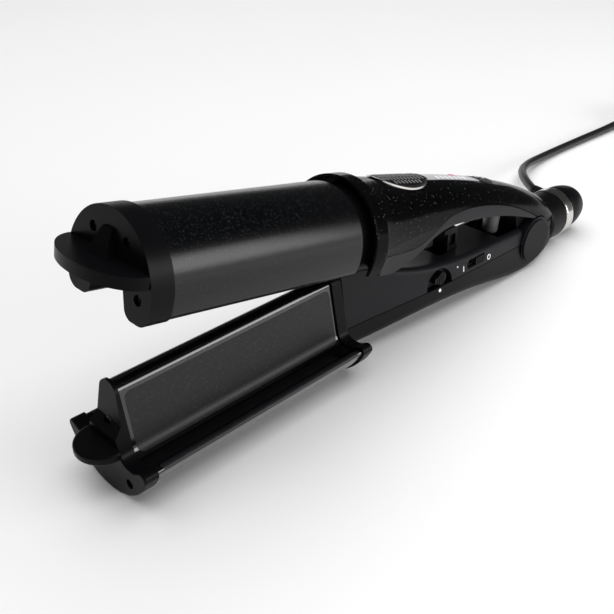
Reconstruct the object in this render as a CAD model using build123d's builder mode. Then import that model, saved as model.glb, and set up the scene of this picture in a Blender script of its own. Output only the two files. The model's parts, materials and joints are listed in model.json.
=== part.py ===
"""Deep-wave hair iron: an arched upper barrel closes over a bell-shaped lower ridge.

Millimetres, +Z up. The tips point along -X and the cord leaves at +X. The origin is on the
resting surface, under the middle of the iron's box. Sizes along the iron are measured from
the tip plane. The upper arm is drawn with its barrel level, on planes that are tilted by
arm_open about the hinge pin.
"""
import os
from math import cos, pi, radians, sin, tan

from build123d import *

# ---- overall lengths, hinge and clearances --------------------------------------------------
lower_barrel_end = 116.7   # from the tip plane
handle_length = 153.0      # from the lower barrel's end to the hinge pin
hinge_x = lower_barrel_end + handle_length
hinge_z = 16.8
arm_open = 11.15           # angle between the barrels at rest
skin_gap = 0.4             # visible gap between casings of one arm
wall = 2.2                 # moulded casing wall
fit_gap = 0.15             # between a part and the seat that locates it
slide_gap = 0.3            # around a piece that slides or turns by hand
move_gap = 0.8             # between the two arms where they pass

# ---- lower barrel, its cap and its collar ---------------------------------------------------
wing_half = 25.4
wing_z = 19.6
valley_z = 15.9
valley_outer = 18.2
ridge_foot = 9.85          # ridge's half width at valley_z
ridge_top_half = 3.7
ridge_top_z = 45.7
belly_z = 0.6
barrel_wall = 1.8
cap_step = 0.9             # end caps stand proud of the barrels by this
foot_z = 0.0               # resting surface
lower_cap_depth = 6.2
collar_depth = 6.0
lower_tab_z = 23.0
lower_tab_thick = 4.0
tab_reach = 11.3           # lower tab's radius, the iron's foremost point

# ---- upper barrel, its cap and its hood ------------------------------------------------------
barrel_radius = 24.0
upper_axis_z = 35.05
leg_z = 24.1               # underside of the two legs
leg_inner_round = 4.5
leg_outer_round = 5.5
tunnel_foot = 11.1         # tunnel's half width at leg_z
tunnel_top = 5.1           # tunnel's half width under the crown
tunnel_z = 54.6            # underside of the crown
leg_bore_top = 47.0
upper_front = 2.2
upper_cap_depth = 9.4
face_wall = 1.3            # front wall that closes the tunnel
upper_tab_z = 43.5
upper_tab_thick = 4.5
upper_tab_reach = 14.5
upper_barrel_end = lower_barrel_end - 9.2
collar_step = 2.4          # the upper barrel's collar is smaller by this
hood_front = lower_barrel_end - 3.0
hood_depth = 7.6
hood_radius = 26.4
hood_wall = 1.7
hood_foot_z = 24.4

# ---- hinge pieces and cord swivel -----------------------------------------------------------
pin_radius = 3.0
pin_gap = 0.04
knuckle_radius = 10.4
knuckle_half = 10.6
cheek_gap = 0.6
cheek_outer = 16.6
cheek_radius = 13.4
disc_radius = 12.3
disc_thick = 0.9
socket_front = hinge_x + 23.3
socket_end = socket_front + 16.4
swivel_z = 14.7
socket_radius = 13.9
ring_radius = 14.4
ring_depth = 7.4
head_depth = 20.5
spigot_radius = 8.0
cord_diameter = 5.5
cord_length = 1800.0

# ---- frames -----------------------------------------------------------------------------------
swivel_end = socket_end + skin_gap + ring_depth + head_depth
middle_x = (swivel_end - tab_reach) / 2
lower = Plane(origin=(-middle_x, 0, 0))


def raised(x, z):
    """Place of a point of the upper arm that is given with its barrel level."""
    a = radians(arm_open)
    dx = x - hinge_x
    dz = z - hinge_z
    return Vector(hinge_x - middle_x + dx * cos(a) + dz * sin(a), 0, hinge_z - dx * sin(a) + dz * cos(a))


upper_x = raised(1, 0) - raised(0, 0)
upper = Plane(origin=raised(0, 0), x_dir=upper_x, z_dir=upper_x.cross(Vector(0, 1, 0)))


def section(arm, x):
    """Plane across an arm at x: local axes are Y and up."""
    return Plane(origin=arm.from_local_coords((x, 0, 0)), x_dir=arm.y_dir, z_dir=arm.x_dir)


def side(arm, y=0.0):
    """Plane along an arm at y: local axes are X and up, its normal is -Y."""
    return Plane(origin=arm.from_local_coords((0, y, 0)), x_dir=arm.x_dir, z_dir=-arm.y_dir)


def level(arm, z):
    """Plane along an arm at height z: local axes are X and Y."""
    return Plane(origin=arm.from_local_coords((0, 0, z)), x_dir=arm.x_dir, z_dir=arm.z_dir)


# ---- barrel outlines ------------------------------------------------------------------------
def bell(grow=0.0):
    """Lower barrel's section: crescent belly, two valleys and the tall ridge."""
    with BuildSketch() as outline:
        with BuildLine():
            ThreePointArc((-wing_half, wing_z), (0, belly_z), (wing_half, wing_z))
            Polyline((wing_half, wing_z), (valley_outer, valley_z), (ridge_foot, valley_z),
                     (ridge_top_half, ridge_top_z), (-ridge_top_half, ridge_top_z),
                     (-ridge_foot, valley_z), (-valley_outer, valley_z), (-wing_half, wing_z))
        make_face()
        fillet(outline.vertices().group_by(Axis.Y)[-1], 1.13 * ridge_top_half)
        fillet(outline.vertices().group_by(Axis.Y)[0], 6.0)
        fillet(outline.vertices().filter_by_position(Axis.Y, wing_z - 0.01, wing_z + 0.01), 1.4)
        if grow:
            offset(amount=grow, mode=Mode.REPLACE)
    return outline.sketch


def tunnel():
    """Tunnel of the upper barrel, drawn past its open foot and round under the crown."""
    lean = (tunnel_foot - tunnel_top) / (tunnel_z - leg_z)
    low_z = leg_z - barrel_radius
    low_half = tunnel_foot + lean * (leg_z - low_z)
    with BuildSketch() as outline:
        with BuildLine():
            Polyline((-low_half, low_z), (low_half, low_z), (tunnel_top, tunnel_z),
                     (-tunnel_top, tunnel_z), close=True)
        make_face()
        fillet(outline.vertices().group_by(Axis.Y)[-1], 0.85 * tunnel_top)
    return outline.sketch


tunnel_shape = tunnel()


def arch(radius):
    """Upper barrel's section: a round with the tunnel cut out, so that two legs are left."""
    with BuildSketch() as outline:
        with Locations((0, upper_axis_z)):
            Circle(radius)
        with Locations((0, leg_z - radius)):
            Rectangle(4 * radius, 2 * radius, mode=Mode.SUBTRACT)
        add(tunnel_shape, mode=Mode.SUBTRACT)
        feet = outline.vertices().filter_by_position(Axis.Y, leg_z - 0.01, leg_z + 0.01).sort_by(Axis.X)
        fillet(feet[1:3], leg_inner_round)
        feet = outline.vertices().filter_by_position(Axis.Y, leg_z - 0.01, leg_z + 0.01).sort_by(Axis.X)
        outer_feet = ShapeList([feet[0], feet[-1]])
        fillet(outer_feet, leg_outer_round * radius / barrel_radius)
    return outline.sketch


def leg_bores(inset):
    """The two hollows in the upper barrel's legs, drawn smaller by inset."""
    with BuildSketch() as outline:
        add(arch(barrel_radius))
        with Locations((0, leg_bore_top + 2 * barrel_radius)):
            Rectangle(4 * barrel_radius, 4 * barrel_radius, mode=Mode.SUBTRACT)
        offset(amount=-inset, mode=Mode.REPLACE)
    return outline.sketch


bell_barrel = bell()
bell_cap = bell(cap_step)
bell_bore = bell(-barrel_wall)
bell_plug = bell(-barrel_wall - fit_gap)
arch_barrel = arch(barrel_radius)
arch_cap = arch(barrel_radius + cap_step)
arch_collar = arch(barrel_radius - collar_step)
arch_bores = leg_bores(barrel_wall)
arch_plugs = leg_bores(barrel_wall + fit_gap)

# ---- screws in the barrel ends ----------------------------------------------------------------
screw_head = 1.9
screw_shank = 1.0
screw_sink = 1.3
screw_seat = 1.5
lower_screw_spots = [(0, 29.5), (-14.4, 9.8), (14.4, 9.8)]
crown_screw_spots = [(-9.7, 50.2), (9.7, 50.2)]
leg_screw_spots = [(-17.6, 33.0), (17.6, 33.0)]


def screw_holes(arm, front, spots, length):
    with BuildPart() as holes:
        with BuildSketch(section(arm, front)):
            with Locations(*spots):
                Circle(screw_head + fit_gap)
        extrude(amount=screw_sink + screw_seat)
        with BuildSketch(section(arm, front)):
            with Locations(*spots):
                Circle(screw_shank + 0.05)
        extrude(amount=screw_sink + screw_seat + length)
    return holes.part


def cross_screws(arm, front, spots, length):
    """Pan-head screws with a cross recess, sunk into a face."""
    with BuildPart() as screws:
        with BuildSketch(section(arm, front + screw_sink)):
            with Locations(*spots):
                Circle(screw_head)
        extrude(amount=screw_seat)
        with BuildSketch(section(arm, front + screw_sink + screw_seat)):
            with Locations(*spots):
                Circle(screw_shank)
        extrude(amount=length)
        with BuildSketch(section(arm, front + screw_sink)):
            with Locations(*spots):
                Rectangle(2.4, 0.5)
                Rectangle(0.5, 2.4)
        extrude(amount=0.7, mode=Mode.SUBTRACT)
    return screws


# ---- lower arm: barrel and its ends -------------------------------------------------------------
nose_step_z = 26.5         # above this the lower cap leans back
nose_foot = (3.6, 30.8)
nose_top_x = 4.9
plug_depth = 5.0
nose_screw_front = 3.4
heater_front = 18.0
heater_length = lower_barrel_end - heater_front - 16.7


def below_the_table(x):
    """Block under the resting surface, which trims a round belly to a flat foot."""
    with BuildPart() as block:
        with BuildSketch(level(lower, foot_z)):
            with Locations((x, 0)):
                Rectangle(10 * collar_depth, 4 * wing_half)
        extrude(amount=-2 * cap_step)
    return block.part


def build_lower_cap():
    belly_holes = screw_holes(lower, 0, lower_screw_spots[1:], 6)
    nose_hole = screw_holes(lower, nose_screw_front - screw_sink, lower_screw_spots[:1], 6)
    with BuildPart() as cap:
        with BuildSketch(section(lower, 0)):
            add(bell_cap)
        extrude(amount=lower_cap_depth)
        fillet(cap.faces().sort_by(Axis.X)[0].edges(), 0.7)
        with BuildSketch(side(lower)):
            with BuildLine():
                Polyline((-2, nose_step_z), (0, nose_step_z), nose_foot, (nose_top_x, ridge_top_z + 2),
                         (-2, ridge_top_z + 2), close=True)
            make_face()
        extrude(amount=wing_half, both=True, mode=Mode.SUBTRACT)
        with BuildSketch(level(lower, lower_tab_z)):
            Circle(tab_reach)
            with Locations((tab_reach, 0)):
                Rectangle(2 * tab_reach, 3 * tab_reach, mode=Mode.SUBTRACT)
        extrude(amount=-lower_tab_thick)
        with BuildSketch(level(lower, lower_tab_z)):
            with Locations((lower_cap_depth / 2, 0)):
                Rectangle(lower_cap_depth, 14)
        extrude(amount=-lower_tab_thick)
        rim = cap.edges().filter_by(GeomType.CIRCLE).sort_by(Axis.X)[:2]
        fillet(rim, 1.2)
        with BuildSketch(section(lower, lower_cap_depth)):
            add(bell_plug)
        extrude(amount=plug_depth)
        add(belly_holes, mode=Mode.SUBTRACT)
        add(nose_hole, mode=Mode.SUBTRACT)
        add(below_the_table(lower_cap_depth), mode=Mode.SUBTRACT)
    return cap


def build_lower_barrel():
    with BuildPart() as barrel:
        with BuildSketch(section(lower, lower_cap_depth)):
            add(bell_barrel)
            add(bell_bore, mode=Mode.SUBTRACT)
        extrude(amount=lower_barrel_end - lower_cap_depth)
    return barrel


def build_lower_heater():
    with BuildPart() as heater:
        with BuildSketch(section(lower, heater_front)):
            with Locations((0, 29)):
                RectangleRounded(3.2, 20, 0.8)
        extrude(amount=heater_length)
    return heater


def build_heater_clip():
    """Folded steel channel that holds the lower heater up inside the ridge."""
    with BuildPart() as clip:
        with BuildSketch(section(lower, heater_front + 6)):
            with Locations((0, 23.25)):
                Rectangle(4.6, 13.5)
            with Locations((0, 23.75)):
                Rectangle(3.6, 13.5, mode=Mode.SUBTRACT)
        extrude(amount=heater_length - 12)
    return clip


def build_lower_collar():
    """Collar between the lower barrel and the handle, with wings like the front cap's."""
    with BuildPart() as collar:
        with BuildSketch(section(lower, lower_barrel_end)):
            add(bell_cap)
        extrude(amount=collar_depth)
        edge_loop = collar.faces().sort_by(Axis.X)[-1].edges()
        fillet(edge_loop, 0.6)
        with BuildSketch(level(lower, wing_z - 0.4)):
            with Locations((lower_barrel_end, -2 * wing_half + 8), (lower_barrel_end, 2 * wing_half - 8)):
                Rectangle(4 * collar_depth, 2 * wing_half)
        extrude(amount=wing_z, mode=Mode.SUBTRACT)
        with BuildSketch(section(lower, lower_barrel_end)):
            add(bell_plug)
        extrude(amount=-plug_depth)
        with BuildSketch(section(lower, lower_barrel_end - plug_depth)):
            with Locations((0, 9.5)):
                SlotOverall(24, 7)
        extrude(amount=plug_depth + collar_depth, mode=Mode.SUBTRACT)
        add(below_the_table(lower_barrel_end), mode=Mode.SUBTRACT)
    return collar


# ---- lower handle: one body, split at its seam into cover and shell ------------------------------
handle_front = lower_barrel_end + collar_depth + skin_gap
nominal_front = 123.1      # handle_front and hinge_x that the places below are given for
nominal_hinge = 269.7
fixed_reach = 35.0         # this much ahead of the hinge keeps its length


def along(x):
    """Place along the handle: a nominal place, stretched to the handle's actual length."""
    if x > nominal_hinge - fixed_reach:
        return hinge_x + x - nominal_hinge
    stretch = (hinge_x - fixed_reach - handle_front) / (nominal_hinge - fixed_reach - nominal_front)
    return handle_front + (x - nominal_front) * stretch


# place along the arm, underside, half width there, top, half width there
lower_handle_rings = [
    (handle_front, 8.6, 10.4, 46.0, 4.6),
    (along(150), 8.4, 12.8, 40.6, 8.0),
    (along(178), 8.8, 15.4, 32.2, 12.0),
    (along(205), 7.4, 16.6, 28.8, 14.0),
    (along(232), 3.4, 17.0, 27.4, 14.6),
    (along(258), -0.5, 17.0, 26.0, 14.8),
    (along(278), 0.3, 16.4, 23.6, 14.0),
    (socket_front - skin_gap, 3.4, 14.2, 22.6, 12.2),
]
seam_front_z = 19.2
seam_bend_x = along(205)
seam_rear_z = 15.0
knuckle_slot_front = along(239.5)
knuckle_slot_end = along(284)


def lower_handle_solid(inset=0.0):
    with BuildPart() as solid:
        for x, low, low_half, high, high_half in lower_handle_rings:
            with BuildSketch(section(lower, x)) as ring:
                with BuildLine():
                    Polyline((-low_half + inset, low + inset), (low_half - inset, low + inset),
                             (high_half - inset, high - inset), (-high_half + inset, high - inset), close=True)
                make_face()
                fillet(ring.vertices().group_by(Axis.Y)[-1], 3.6 - 0.75 * inset)
                fillet(ring.vertices().group_by(Axis.Y)[0], 5.2 - inset)
        loft()
    return solid.part


def seam_band(shift, edge_z):
    """All that lies between the seam line, moved up by shift, and the height edge_z."""
    front_x = handle_front - seam_front_z
    rear_x = swivel_end + seam_front_z
    with BuildPart() as band:
        with BuildSketch(side(lower)):
            with BuildLine():
                Polyline((front_x, seam_front_z + shift), (seam_bend_x, seam_front_z + shift),
                         (rear_x, seam_rear_z + shift), (rear_x, edge_z), (front_x, edge_z), close=True)
            make_face()
        extrude(amount=2 * wing_half, both=True)
    return band.part


def cheek_bosses(outer):
    """Round bosses on both sides of the knuckle, from the slot to the given half width."""
    with BuildPart() as bosses:
        for y_sign in (-1, 1):
            with BuildSketch(side(lower, y_sign * (knuckle_half + cheek_gap))):
                with Locations((hinge_x, hinge_z)):
                    Circle(cheek_radius)
            extrude(amount=-y_sign * (outer - knuckle_half - cheek_gap))
    return bosses.part


def hinge_hollow():
    """Room for the knuckle, the neck above it and the opening post ahead of it."""
    with BuildPart() as hollow:
        with BuildSketch(side(lower)):
            with Locations((hinge_x, hinge_z)):
                Circle(knuckle_radius + move_gap)
            with BuildLine():
                Polyline((knuckle_slot_front, hinge_z - 1), (knuckle_slot_end, hinge_z - 1),
                         (knuckle_slot_end, 3 * hinge_z), (knuckle_slot_front, 3 * hinge_z), close=True)
            make_face()
        extrude(amount=knuckle_half + cheek_gap, both=True)
        with BuildSketch(side(lower)):
            with Locations((hinge_x, hinge_z)):
                Circle(pin_radius + 0.02)
        extrude(amount=cheek_outer - 0.8, both=True)
    return hollow.part


lower_solid = lower_handle_solid()
lower_cavity = lower_handle_solid(wall)
upper_band = seam_band(skin_gap / 2, 2 * ridge_top_z)
lower_band = seam_band(-skin_gap / 2, -ridge_top_z)
bosses = cheek_bosses(cheek_outer)
hinge_room = hinge_hollow()

lock_x = along(185.5)
lock_z = 24.2
lock_recess_radius = 9.4
lock_recess_floor = 11.2   # distance of the recess floor from the middle plane
lock_hub = 3.4
switch_x = along(215)
switch_z = 23.2
switch_slot = (15.0, 4.6)
switch_knob = (7.0, 3.8)
switch_travel = 6.0
latch_x = along(207)       # middle of the latch's stem
latch_stem = (8.0, 9.0)
latch_travel = 4.0
latch_top_z = 41.2
latch_lip = 2.9
latch_lip_thick = 2.2


def build_lower_cover():
    with BuildPart() as cover:
        add(lower_solid)
        add(lower_cavity, mode=Mode.SUBTRACT)
        add(bosses)
        add(upper_band, mode=Mode.INTERSECT)
        add(hinge_room, mode=Mode.SUBTRACT)
        # arched recess for the lock lever, with a floor that carries its shaft
        with BuildSketch(side(lower, -lock_recess_floor)):
            with Locations((lock_x, seam_front_z + skin_gap / 2)):
                Circle(lock_recess_radius + 1.6)
            with Locations((lock_x, seam_front_z + skin_gap / 2 - lock_recess_radius)):
                Rectangle(4 * lock_recess_radius, 2 * lock_recess_radius, mode=Mode.SUBTRACT)
        extrude(amount=-1.6)
        with BuildSketch(side(lower, -lock_recess_floor)):
            with Locations((lock_x, seam_front_z + skin_gap / 2)):
                Circle(lock_recess_radius)
            with Locations((lock_x, seam_front_z + skin_gap / 2 - lock_recess_radius)):
                Rectangle(4 * lock_recess_radius, 2 * lock_recess_radius, mode=Mode.SUBTRACT)
        extrude(amount=lock_recess_floor, mode=Mode.SUBTRACT)
        with BuildSketch(side(lower, -lock_recess_floor)):
            with Locations((lock_x, lock_z)):
                Circle(shaft_radius + 0.06)
        extrude(amount=-4, mode=Mode.SUBTRACT)
        # slot for the power slider
        with BuildSketch(side(lower, -8)):
            with Locations((switch_x, switch_z)):
                RectangleRounded(*switch_slot, 1.2)
        extrude(amount=2 * wing_half, mode=Mode.SUBTRACT)
        # slot for the latch in the cover's top
        with BuildSketch(level(lower, 24)):
            with Locations((latch_x - (latch_travel + latch_lip) / 2, 0)):
                Rectangle(latch_stem[0] + latch_travel + latch_lip + 2 * slide_gap + 1,
                          latch_stem[1] + 2 * slide_gap + 0.4)
        extrude(amount=10, mode=Mode.SUBTRACT)
    return cover


shaft_radius = 1.8
handle_screw_spots = [(along(146), 0), (along(196), 0), (along(238), 0)]
handle_screw_radius = 2.6


def build_lower_shell():
    with BuildPart() as shell:
        add(lower_solid)
        add(lower_cavity, mode=Mode.SUBTRACT)
        add(bosses)
        add(lower_band, mode=Mode.INTERSECT)
        add(hinge_room, mode=Mode.SUBTRACT)
        with BuildSketch(level(lower, foot_z)):
            with Locations((hinge_x, 0)):
                Rectangle(4 * cheek_radius, 4 * wing_half)
        extrude(amount=-10, mode=Mode.SUBTRACT)
        # screw posts with countersunk seats, open to the underside
        with BuildSketch(level(lower, 13)):
            with Locations(*handle_screw_spots):
                Circle(handle_screw_radius + wall)
        extrude(until=Until.NEXT, dir=(0, 0, -1))
        with BuildSketch(level(lower, -1)):
            with Locations(*handle_screw_spots):
                Circle(handle_screw_radius + 0.2)
        extrude(amount=12.4, mode=Mode.SUBTRACT)
        with BuildSketch(level(lower, -1)):
            with Locations(*handle_screw_spots):
                Circle(1.35)
        extrude(amount=20, mode=Mode.SUBTRACT)
    return shell


def build_handle_screws():
    """Screws that hold the lower shell to the cover, seen deep in the underside."""
    with BuildPart() as screws:
        with BuildSketch(level(lower, 9.4)):
            with Locations(*handle_screw_spots):
                Circle(handle_screw_radius)
        extrude(amount=1.8)
        with BuildSketch(level(lower, 11.2)):
            with Locations(*handle_screw_spots):
                Circle(1.25)
        extrude(amount=9)
        with BuildSketch(level(lower, 9.4)):
            with Locations(*handle_screw_spots):
                Rectangle(3.2, 0.7)
                Rectangle(0.7, 3.2)
        extrude(amount=0.9, mode=Mode.SUBTRACT)
    return screws


# ---- hinge -------------------------------------------------------------------------------------
spring_wire = 1.2
spring_radius = 5.2
spring_turns = 4
spring_near = 4.9


def build_hinge_pin():
    with BuildPart() as pin:
        with BuildSketch(side(lower)):
            with Locations((hinge_x, hinge_z)):
                Circle(pin_radius)
        extrude(amount=cheek_outer - 1.0, both=True)
        chamfer(pin.edges().filter_by(GeomType.CIRCLE), 0.4)
    return pin


def build_hinge_discs():
    """Plain round covers over both ends of the pin."""
    with BuildPart() as discs:
        for y_sign in (-1, 1):
            with BuildSketch(side(lower, y_sign * (cheek_outer + 0.02))):
                with Locations((hinge_x, hinge_z)):
                    Circle(disc_radius)
            extrude(amount=-y_sign * disc_thick)
        outer = discs.faces().sort_by(Axis.Y)
        fillet(outer[0].edges() + outer[-1].edges(), 0.5)
    return discs


def build_hinge_spring():
    """Torsion spring round the pin that opens the arms."""
    pitch = spring_wire + 0.15
    axis_plane = Plane(origin=lower.from_local_coords((hinge_x, spring_near + spring_wire, hinge_z)),
                       x_dir=(1, 0, 0), z_dir=(0, 1, 0))
    with BuildPart() as spring:
        with BuildLine() as path:
            coil_line = Helix(pitch, pitch * (spring_turns - 1), spring_radius)
        moved_path = axis_plane.location * coil_line
        start = moved_path @ 0
        with BuildSketch(Plane(origin=start, z_dir=moved_path % 0)):
            Circle(spring_wire / 2)
        sweep(path=moved_path)
    return spring


# ---- latch, lock lever and power switch ----------------------------------------------------------
def build_lock_shaft():
    with BuildPart() as shaft:
        with BuildSketch(side(lower, -lock_recess_floor - 1.2)):
            with Locations((lock_x, lock_z)):
                Circle(shaft_radius)
        extrude(amount=-8.0)
    return shaft


def build_lock_lever():
    """Small ribbed lever that turns in the arched recess and works the latch."""
    lever_out = 3.6
    reach = 4.4
    with BuildPart() as lever:
        with BuildSketch(side(lower, -lock_recess_floor - 0.3)):
            with Locations((lock_x, lock_z)):
                Circle(lock_hub)
                with Locations((-reach / 2, 0)):
                    RectangleRounded(reach + 2, 3.4, 1.2)
        extrude(amount=lever_out)
        with BuildSketch(side(lower, -lock_recess_floor - 0.3)):
            with Locations((lock_x, lock_z)):
                Circle(shaft_radius + 0.02)
        extrude(amount=0.9, mode=Mode.SUBTRACT)
        with BuildSketch(side(lower, -lock_recess_floor - 0.3 - lever_out)):
            with Locations((lock_x - 1, lock_z)):
                with GridLocations(1.5, 0, 4, 1):
                    Rectangle(0.6, 6)
        extrude(amount=-0.6, mode=Mode.SUBTRACT)
    return lever


def build_latch():
    """Hook that rises from the cover and slides forward over the upper base's floor."""
    slide_z = 21.0
    with BuildPart() as hook:
        with BuildSketch(side(lower)):
            with BuildLine():
                stem_front = latch_x - latch_stem[0] / 2
                stem_back = latch_x + latch_stem[0] / 2
                Polyline((stem_front - 10, slide_z), (stem_back, slide_z), (stem_back, latch_top_z - 1.2),
                         (stem_back - 1.6, latch_top_z), (stem_front - latch_lip, latch_top_z),
                         (stem_front - latch_lip, latch_top_z - latch_lip_thick),
                         (stem_front, latch_top_z - latch_lip_thick), (stem_front, slide_z + 3),
                         (stem_front - 10, slide_z + 3), close=True)
            make_face()
        extrude(amount=latch_stem[1] / 2, both=True)
        with BuildSketch(side(lower)):
            with Locations((latch_x, (latch_top_z + 28) / 2)):
                Rectangle(latch_stem[0] - 3.2, 6)
        extrude(amount=latch_stem[1], both=True, mode=Mode.SUBTRACT)
        with BuildSketch(side(lower)):
            with Locations((latch_x, (latch_top_z + 28) / 2)):
                Rectangle(latch_stem[0] - 3.2, 6)
        extrude(amount=latch_stem[1] / 2 - 1.6, both=True)
    return hook


def build_switch_body():
    with BuildPart() as body:
        with BuildSketch(side(lower, -6)):
            with Locations((switch_x, switch_z - 1.2)):
                Rectangle(16, 6)
        extrude(amount=4.6)
        with BuildSketch(side(lower, -10.6)):
            with Locations((switch_x, switch_z)):
                Rectangle(12.6, 2.4)
        extrude(amount=-1.4, mode=Mode.SUBTRACT)
    return body


def build_power_slider():
    """Thumb slider of the power switch, at its off end."""
    rest_x = switch_x + (switch_travel) / 2
    with BuildPart() as slider:
        with BuildSketch(side(lower, -11.0)):
            with Locations((rest_x, switch_z)):
                Rectangle(*switch_knob)
        extrude(amount=4.2)
        with BuildSketch(side(lower, -9.6)):
            with Locations((rest_x, switch_z)):
                Rectangle(2.4, 1.6)
        extrude(amount=1.4)
        with BuildSketch(side(lower, -15.2)):
            with Locations((rest_x, switch_z)):
                with GridLocations(1.6, 0, 4, 1):
                    Rectangle(0.6, 4.6)
        extrude(amount=-0.5, mode=Mode.SUBTRACT)
    return slider


def build_terminal_block():
    with BuildPart() as block:
        with BuildSketch(level(lower, 10.2)):
            with Locations((switch_x + 1, 4)):
                Rectangle(18, 9)
        extrude(amount=8)
        with BuildSketch(side(lower, 8.5)):
            with Locations((switch_x + 1, 14.2)):
                with GridLocations(8, 0, 2, 1):
                    Circle(1.4)
        extrude(amount=9, mode=Mode.SUBTRACT)
    return block


# ---- cord swivel ----------------------------------------------------------------------------------
head_x = socket_end + 16.6  # where the cord leaves the swivel's head
relief_turn = 66.4         # direction of the cord's exit, from +X towards +Y
relief_start = 9.6
relief_end = 27.0
relief_root = 4.9
relief_tip = 3.5


def build_swivel_socket():
    with BuildPart() as socket:
        with BuildSketch(section(lower, socket_front)):
            with Locations((0, swivel_z)):
                Circle(socket_radius)
        extrude(amount=socket_end - socket_front)
        fillet(socket.edges().filter_by(GeomType.CIRCLE).sort_by(Axis.X)[0], 3.4)
        fillet(socket.edges().filter_by(GeomType.CIRCLE).sort_by(Axis.X)[-1], 0.6)
        with BuildSketch(section(lower, socket_front - 6)):
            with Locations((0, 12.4)):
                Circle(5.6)
        extrude(amount=8)
        with BuildSketch(section(lower, socket_end - 9)):
            with Locations((0, swivel_z)):
                Circle(spigot_radius + 0.05)
        extrude(amount=9, mode=Mode.SUBTRACT)
        with BuildSketch(section(lower, socket_front - 6)):
            with Locations((0, 12.4)):
                Circle(3.2)
        extrude(amount=12, mode=Mode.SUBTRACT)
    return socket


def build_swivel_ring():
    front = socket_end + skin_gap
    with BuildPart() as ring:
        with BuildSketch(section(lower, front)):
            with Locations((0, swivel_z)):
                Circle(ring_radius)
                Circle(spigot_radius + 0.1, mode=Mode.SUBTRACT)
        extrude(amount=ring_depth - 0.3)
        rims = ring.edges().filter_by(GeomType.CIRCLE).sort_by(SortBy.RADIUS)[-2:]
        fillet(rims, 1.0)
    return ring


def build_swivel_head():
    front = socket_end + skin_gap + ring_depth
    back = front + head_depth
    shoulder = 12.6
    with BuildPart() as head:
        with BuildSketch(Plane(origin=lower.from_local_coords((0, 0, swivel_z)), x_dir=(1, 0, 0), z_dir=(0, -1, 0))):
            with BuildLine():
                Line((front - ring_depth - 7.5, 0), (front - ring_depth - 7.5, spigot_radius))
                Line((front - ring_depth - 7.5, spigot_radius), (front, spigot_radius))
                Line((front, spigot_radius), (front, shoulder))
                Spline((front, shoulder), (front + 6, 13.2), (front + 14, 11.8), (back, 6.4),
                       tangents=((1, 0.25), (0.25, -1)))
                Line((back, 6.4), (back, 0))
                Line((back, 0), (front - ring_depth - 7.5, 0))
            make_face()
        revolve(axis=Axis(lower.from_local_coords((0, 0, swivel_z)), (1, 0, 0)))
        with BuildSketch(relief_plane(relief_start - fit_gap)):
            Circle(relief_root + fit_gap)
        extrude(amount=20, mode=Mode.SUBTRACT)
        with BuildSketch(section(lower, front - ring_depth - 8)):
            with Locations((0, swivel_z)):
                Circle(3.2)
        extrude(amount=head_x - front + ring_depth + 8, mode=Mode.SUBTRACT)
    return head


def relief_plane(reach):
    """Plane across the cord's exit, at a distance from the swivel's axis."""
    a = radians(relief_turn)
    spot = lower.from_local_coords((head_x + reach * cos(a), reach * sin(a), swivel_z))
    return Plane(origin=spot, x_dir=(0, 0, 1), z_dir=(cos(a), sin(a), 0))


def build_strain_relief():
    ribs = 4
    with BuildPart() as relief:
        with BuildSketch(relief_plane(relief_start)):
            Circle(relief_root)
        with BuildSketch(relief_plane(relief_end)):
            Circle(relief_tip)
        loft()
        for i in range(ribs):
            groove_at = relief_start + 6.2 + 2.6 * i
            with BuildSketch(relief_plane(groove_at)):
                Circle(relief_root + 1)
                Circle(2.95, mode=Mode.SUBTRACT)
            extrude(amount=1.1, mode=Mode.SUBTRACT)
    return relief


# ---- cord: route points on its middle line, from the strain relief to the coil ---------------------
cord_z = cord_diameter / 2 + 0.05
coil_x = head_x + 249.0
coil_y = 31.0
coil_turns = 8
coil_lift = 1.4            # the tie runs under the coil
coil_width = 17.0
coil_height = 15.0
plug_x = coil_x + 53.0
exit_angle = radians(relief_turn)
cord_points = [
    (head_x + relief_end * cos(exit_angle), relief_end * sin(exit_angle), swivel_z),
    (head_x + 25.0, 42.0, 13.8),
    (head_x + 60.0, 64.0, 7.0),
    (head_x + 102.0, 69.8, cord_z),
    (head_x + 150.0, 68.8, cord_z),
    (head_x + 196.0, 65.4, cord_z + 0.4),
]


def route_length(points, radii):
    """Middle-line length of straight runs joined by tangent arcs."""
    total = 0.0
    for a, b in zip(points, points[1:]):
        total += (b - a).length
    for a, b, c, r in zip(points, points[1:], points[2:], radii):
        turn = radians((b - a).get_angle(c - b))
        total += r * turn - 2 * r * tan(turn / 2)
    return total


def corner_radii(points):
    """Each corner's arc is as large as its two runs allow."""
    radii = []
    for a, b, c in zip(points, points[1:], points[2:]):
        turn = radians((b - a).get_angle(c - b))
        radii.append(0.45 * min((b - a).length, (c - b).length) / tan(turn / 2))
    return radii


def build_power_cord(points, radii):
    start_dir = points[1] - points[0]
    with BuildPart() as tube:
        with BuildLine() as path:
            FilletPolyline(*points, radius=radii)
        with BuildSketch(Plane(origin=points[0], z_dir=start_dir)):
            Circle(cord_diameter / 2)
        sweep(path=path.wire())
    return tube


def build_cord_coil(mean_radius):
    """Outer shape of the tied coil: all its turns as one ring."""
    with BuildPart() as coil:
        with BuildSketch(Plane(origin=lower.from_local_coords((coil_x, coil_y, 0)), x_dir=(1, 0, 0),
                               z_dir=(0, -1, 0))):
            with Locations((mean_radius, coil_lift + coil_height / 2)):
                RectangleRounded(coil_width, coil_height, 5.2)
        revolve(axis=Axis(lower.from_local_coords((coil_x, coil_y, 0)), (0, 0, 1)))
    return coil


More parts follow.
